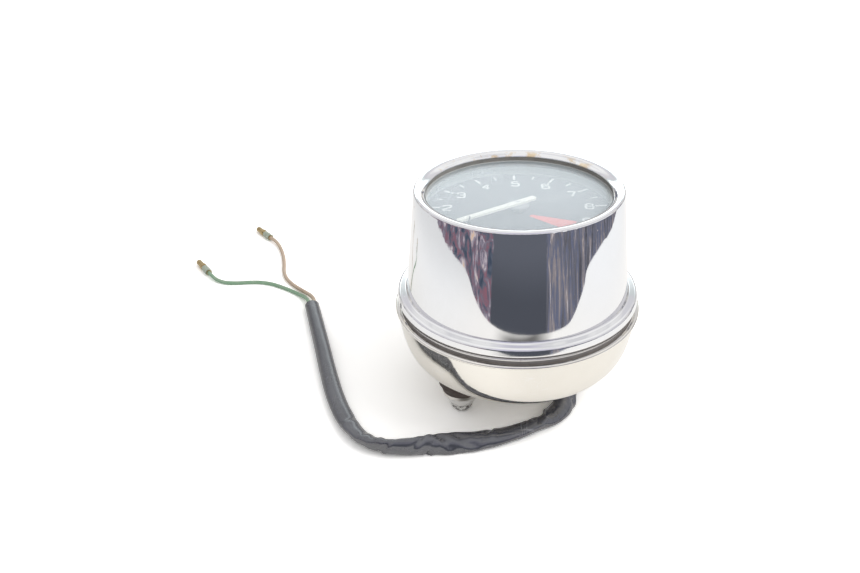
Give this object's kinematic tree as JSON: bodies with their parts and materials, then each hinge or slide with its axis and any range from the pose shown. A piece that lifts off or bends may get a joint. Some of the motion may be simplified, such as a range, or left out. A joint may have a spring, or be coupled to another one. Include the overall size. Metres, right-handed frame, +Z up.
{
  "type": "motorcycle tachometer",
  "caption": "Round chromed motorcycle tachometer: sprung needle over a dial, magnetic cable drive with a threaded spigot below, rubber-mounted studs and a lamp harness.",
  "frame": {"origin": "on the gauge's axis, level with the end of the cable spigot and the domes of the nuts", "axes": "+Z up along the gauge's axis through the glass, +Y towards 12 o'clock on the dial, +X to 3 o'clock; the harness leaves towards -X"},
  "size_m": [0.23, 0.2089, 0.0952],
  "materials": {
    "upper_cover": "bright chrome with fine rust specks on the rim",
    "lens_gasket": "dull black",
    "lens": "clear, slightly hazed with age",
    "dial_shroud": "matt dark grey",
    "dial_plate": "matt black with white print and a red sector",
    "dial_screws": "matt black",
    "stop_pin": "dull steel wire",
    "needle": "matt white",
    "needle_hub": "matt black",
    "needle_spindle": "ground steel",
    "drag_cup": "plain drawn aluminium",
    "hairspring_collet": "turned brass",
    "hairspring": "rolled bronze strip",
    "hairspring_stud": "turned brass",
    "top_bridge": "stamped, plain",
    "bridge_bush": "sintered",
    "bridge_posts": "turned steel",
    "bridge_screws": "dark steel",
    "field_cup": "plated soft iron",
    "magnet": "ground dark magnet",
    "magnet_carrier": "turned",
    "thrust_washer": "plain washer",
    "drive_shaft": "ground steel",
    "lower_bush": "oiled sintered bronze",
    "upper_bush": "oiled sintered bronze",
    "movement_frame": "die-cast, grey",
    "frame_screws": "zinc plated",
    "dial_posts": "turned steel",
    "inner_case": "white inside and out",
    "lamp_holder": "tarnished plated steel",
    "lamp_bulb": "clear",
    "lamp_leads": "dull insulated leads",
    "mounting_studs": "zinc plated",
    "case_gasket": "dull black",
    "lower_shell": "bright chrome, slightly yellowed",
    "shell_nut": "dull plated steel",
    "cable_spigot": "dull plated steel",
    "dampers": "aged dark brown rubber",
    "washers": "bright plated",
    "acorn_nuts": "corroded plated steel",
    "harness_grommet": "black",
    "harness_sleeve": "creased black vinyl sleeve",
    "green_wire": "green insulation",
    "brown_wire": "brown insulation",
    "green_terminal": "tarnished brass",
    "brown_terminal": "tarnished brass",
    "green_crimp_sleeve": "clear, slightly green",
    "brown_crimp_sleeve": "clear, slightly green"
  },
  "bodies": {
    "gauge": {"upper_cover": "upper_cover", "lens_gasket": "lens_gasket", "lens": "lens", "dial_shroud": "dial_shroud", "dial_plate": "dial_plate", "dial_screws": "dial_screws", "stop_pin": "stop_pin", "hairspring": "hairspring", "hairspring_stud": "hairspring_stud", "top_bridge": "top_bridge", "bridge_bush": "bridge_bush", "bridge_posts": "bridge_posts", "bridge_screws": "bridge_screws", "field_cup": "field_cup", "lower_bush": "lower_bush", "upper_bush": "upper_bush", "movement_frame": "movement_frame", "frame_screws": "frame_screws", "dial_posts": "dial_posts", "inner_case": "inner_case", "lamp_holder": "lamp_holder", "lamp_bulb": "lamp_bulb", "lamp_leads": "lamp_leads", "mounting_studs": "mounting_studs", "case_gasket": "case_gasket", "lower_shell": "lower_shell", "shell_nut": "shell_nut", "cable_spigot": "cable_spigot", "dampers": "dampers", "washers": "washers", "acorn_nuts": "acorn_nuts", "harness_grommet": "harness_grommet", "harness_sleeve": "harness_sleeve", "green_wire": "green_wire", "brown_wire": "brown_wire", "green_terminal": "green_terminal", "brown_terminal": "brown_terminal", "green_crimp_sleeve": "green_crimp_sleeve", "brown_crimp_sleeve": "brown_crimp_sleeve"},
    "needle_train": {"needle": "needle", "needle_hub": "needle_hub", "needle_spindle": "needle_spindle", "drag_cup": "drag_cup", "hairspring_collet": "hairspring_collet"},
    "drive_train": {"drive_shaft": "drive_shaft", "magnet_carrier": "magnet_carrier", "magnet": "magnet", "thrust_washer": "thrust_washer"}
  },
  "joints": [
    {"name": "needle_swing", "type": "hinge", "parent": "gauge", "child": "needle_train", "pos_m": [0, 0, 0.07], "axis": [0, 0, -1], "range_deg": [0, 264.5], "stiffness_Nm_per_rad": 0.00005, "springref_deg": -20.05},
    {"name": "drive_spin", "type": "hinge", "parent": "gauge", "child": "drive_train", "pos_m": [0, 0, 0.03], "axis": [0, 0, 1], "continuous": true}
  ]
}
